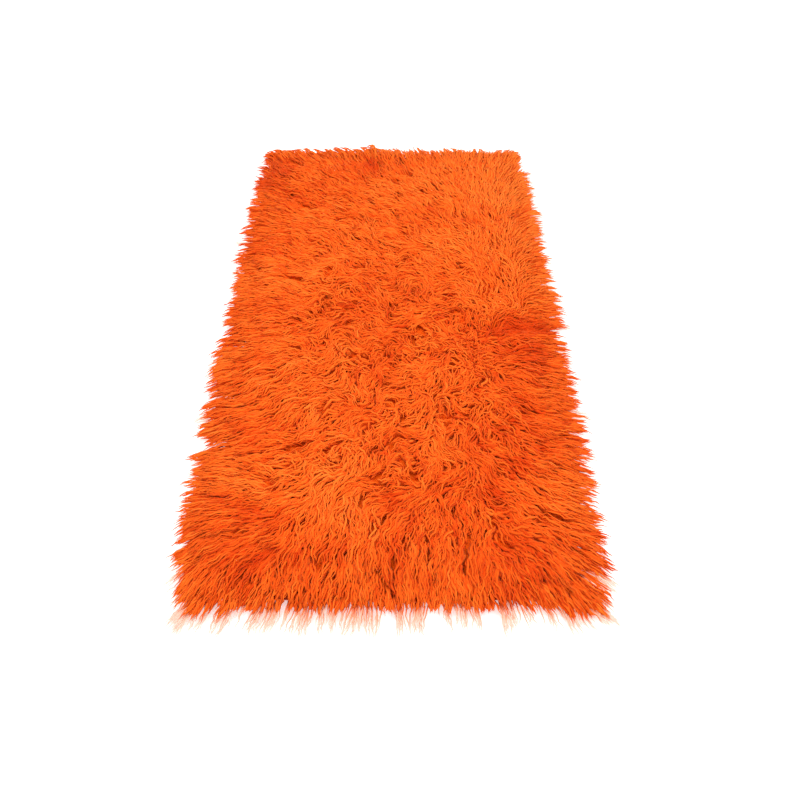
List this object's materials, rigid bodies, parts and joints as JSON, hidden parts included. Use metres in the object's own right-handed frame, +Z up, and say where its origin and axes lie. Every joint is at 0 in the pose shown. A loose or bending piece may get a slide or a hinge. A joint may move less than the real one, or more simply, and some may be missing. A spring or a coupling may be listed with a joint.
{
  "type": "long-pile shag rug",
  "caption": "Rectangular bedside rug of long loose wool pile, lying flat, with combed tufts on top and pointed locks all round its rim.",
  "frame": {"origin": "middle of the rug's flat underside, where it lies on the floor", "axes": "+Z up from the floor, +Y along the rug from its near end to its far end, +X across it"},
  "size_m": [0.8598, 1.5756, 0.0578],
  "materials": {
    "wool_pile": "soft matt dyed wool yarn"
  },
  "bodies": {
    "root": {"rug": "wool_pile"}
  },
  "joints": []
}
